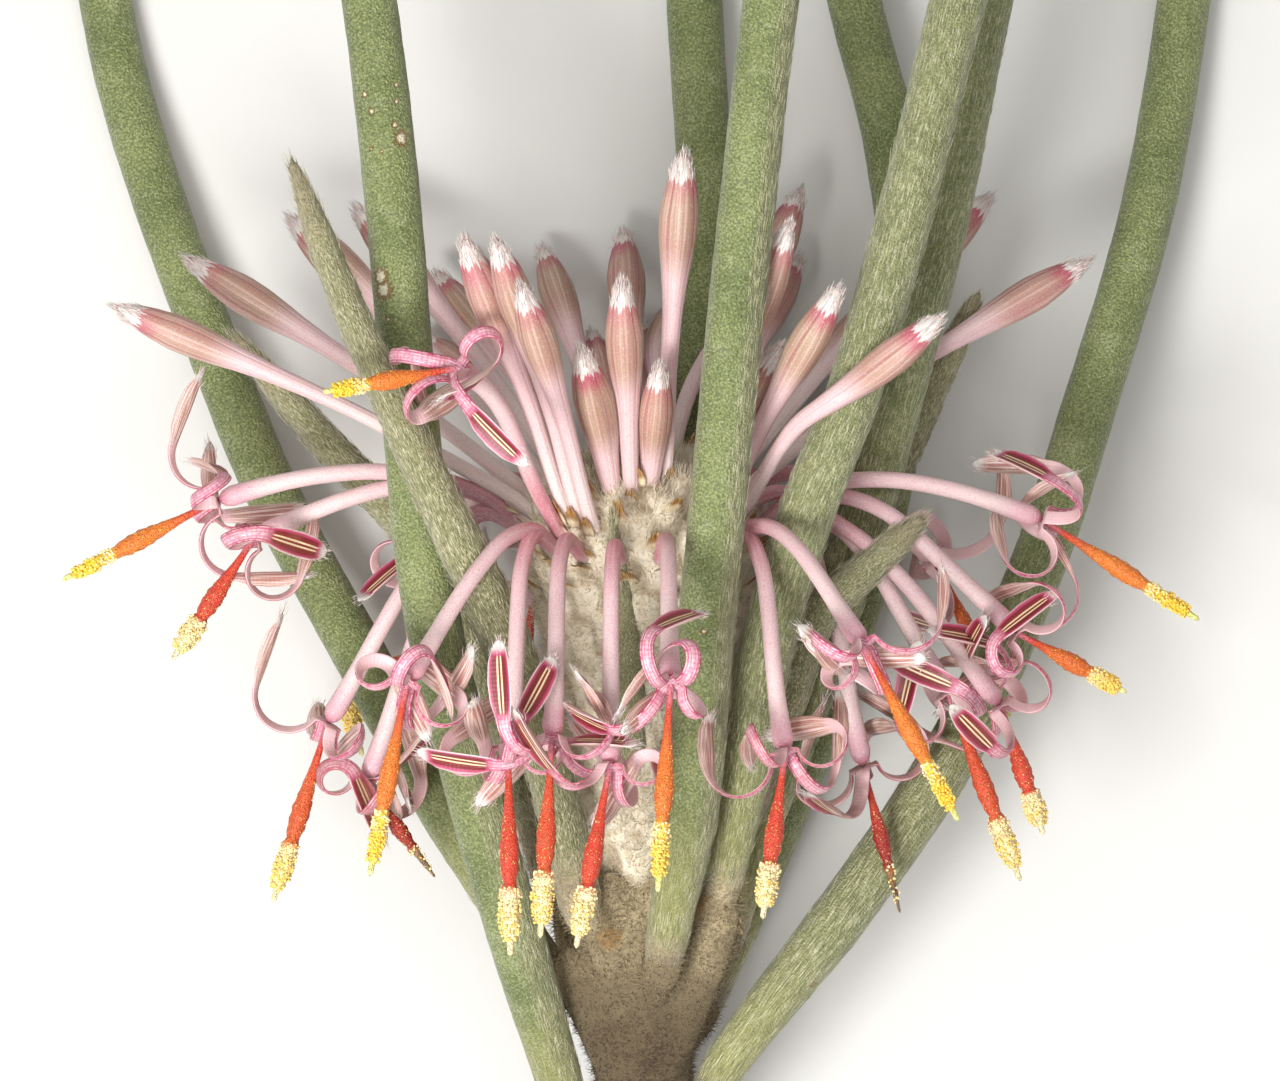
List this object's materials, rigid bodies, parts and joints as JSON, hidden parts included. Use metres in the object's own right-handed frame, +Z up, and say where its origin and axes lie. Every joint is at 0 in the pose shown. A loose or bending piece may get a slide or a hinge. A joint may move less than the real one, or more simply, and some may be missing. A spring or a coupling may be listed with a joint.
{
  "type": "cut isopogon scabriusculus flower head",
  "caption": "Cut cone-flower head lying on its back: club buds and hanging open flowers with curled tepals on a woolly cone, with round needle leaves and a short felted stem.",
  "frame": {"origin": "on the surface that the flower lies on, under the middle of its box", "axes": "+Y from the cut end of the stem to the leaf tips, +Z up from the surface to the side that faces the viewer"},
  "size_m": [0.0366, 0.0622, 0.022],
  "materials": {
    "stem_felt": "matt grey-brown felt with fine dark speckle and a fuzzy outline",
    "florets": "waxy pink tubes, magenta curled tepals, white hairy bud tips, red to yellow brushes, cream wool on the cone",
    "leaf": "grey-green and finely rough, with small dark dots and a soft sheen",
    "young_leaf": "grey-green under silky silver hairs that lie along the leaf"
  },
  "bodies": {
    "root": {"stem": "stem_felt", "flower_head": "florets", "leaf_far_left": "leaf", "leaf_left": "leaf", "leaf_front": "leaf", "leaf_right": "leaf", "leaf_right_back": "leaf", "leaf_back": "leaf", "leaf_back_right": "leaf", "leaf_far_right": "leaf", "young_leaf_left": "young_leaf", "young_leaf_left_back": "young_leaf", "young_leaf_right": "young_leaf", "young_leaf_right_back": "young_leaf"}
  },
  "joints": []
}
